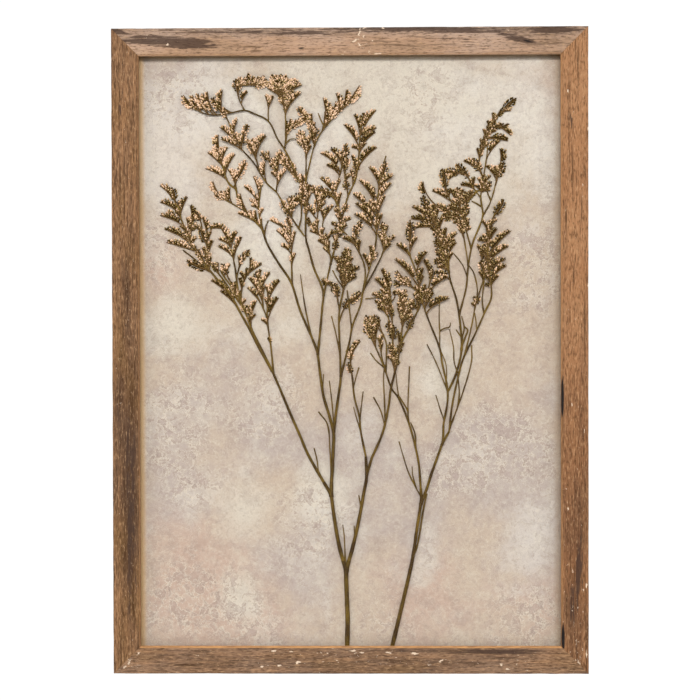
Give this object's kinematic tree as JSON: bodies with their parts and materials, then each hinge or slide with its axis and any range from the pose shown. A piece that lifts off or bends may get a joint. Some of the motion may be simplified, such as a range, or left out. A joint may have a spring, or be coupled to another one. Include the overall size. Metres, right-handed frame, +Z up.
{
  "type": "pressed flower frame",
  "caption": "Upright weathered wooden frame with mitred corners and glass, holding two dried branching flower sprays on a mottled plaster-look paper, to hang on a wall.",
  "frame": {"origin": "the middle of the top rail's back face, which rests on the wall", "axes": "+X to the viewer's right, -Y out of the front glass, +Y into the wall, +Z up"},
  "size_m": [0.35, 0.02, 0.4751],
  "materials": {
    "weathered_wood": "brown stain, streaked and chipped",
    "clear_glass": "clear float glass",
    "printed_paper": "matte paper with a mottled plaster print",
    "hardboard": "raw brown hardboard",
    "zinc_steel": "zinc plated",
    "dried_stem": "dry olive-brown stem",
    "dried_flower": "dry pink-tan florets with brown bracts"
  },
  "bodies": {
    "root": {"frame_bottom_rail": "weathered_wood", "frame_right_rail": "weathered_wood", "frame_top_rail": "weathered_wood", "frame_left_rail": "weathered_wood", "glass": "clear_glass", "printed_paper": "printed_paper", "backing_board": "hardboard", "top_tab_1": "zinc_steel", "top_tab_2": "zinc_steel", "right_tab_1": "zinc_steel", "right_tab_2": "zinc_steel", "bottom_tab_1": "zinc_steel", "bottom_tab_2": "zinc_steel", "left_tab_1": "zinc_steel", "left_tab_2": "zinc_steel", "sawtooth_hanger": "zinc_steel", "tall_stem": "dried_stem", "tall_left_limb": "dried_stem", "tall_outer_branch": "dried_flower", "tall_centre_limb": "dried_stem", "tall_upper_limb": "dried_stem", "tall_fan_branch": "dried_flower", "tall_diagonal_branch": "dried_flower", "tall_crown_branch": "dried_flower", "tall_inner_branch": "dried_flower", "tall_middle_limb": "dried_stem", "tall_column_branch": "dried_flower", "tall_right_branch": "dried_flower", "tall_right_limb": "dried_stem", "tall_side_branch": "dried_flower", "tall_low_branch": "dried_flower", "short_stem": "dried_stem", "short_left_branch": "dried_flower", "short_limb": "dried_stem", "short_cluster_branch": "dried_flower", "short_column_branch": "dried_flower", "short_outer_branch": "dried_flower"}
  },
  "joints": []
}
